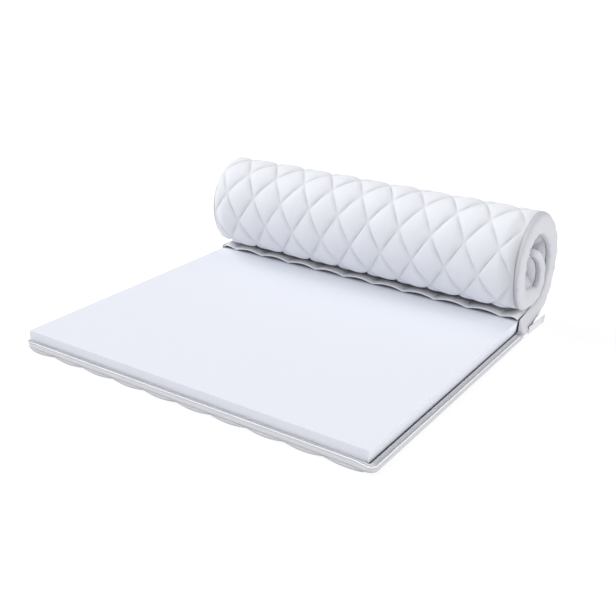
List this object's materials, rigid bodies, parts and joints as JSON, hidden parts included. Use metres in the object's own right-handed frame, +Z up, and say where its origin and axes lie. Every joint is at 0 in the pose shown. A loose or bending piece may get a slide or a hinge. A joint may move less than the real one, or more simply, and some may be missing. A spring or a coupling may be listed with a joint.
{
  "type": "foam mattress topper",
  "caption": "Foam mattress topper in a quilted zip cover, open and flat in front, closed and rolled up behind, with a blank label on the seam.",
  "frame": {"origin": "centre of the footprint of the whole part, at the height of the surface it rests on", "axes": "+X across the mattress towards the side with the label, +Y along its length towards the roll, +Z up"},
  "size_m": [1.2424, 1.2706, 0.3956],
  "materials": {
    "bottom_panel": "white quilted knit fabric over thin wadding",
    "foam_core": "bare white open-cell foam, soft and matte",
    "top_panel": "white quilted knit fabric over thin wadding",
    "side_border": "plain pale woven fabric",
    "zip_half": "pale woven zip tape with moulded teeth",
    "zip_slider": "pale grey lacquered slider",
    "label": "smooth white woven tape, blank"
  },
  "bodies": {
    "root": {"bottom_panel": "bottom_panel", "foam_core": "foam_core", "top_panel": "top_panel", "side_border": "side_border", "zip_half": "zip_half", "zip_slider": "zip_slider", "label": "label"}
  },
  "joints": []
}
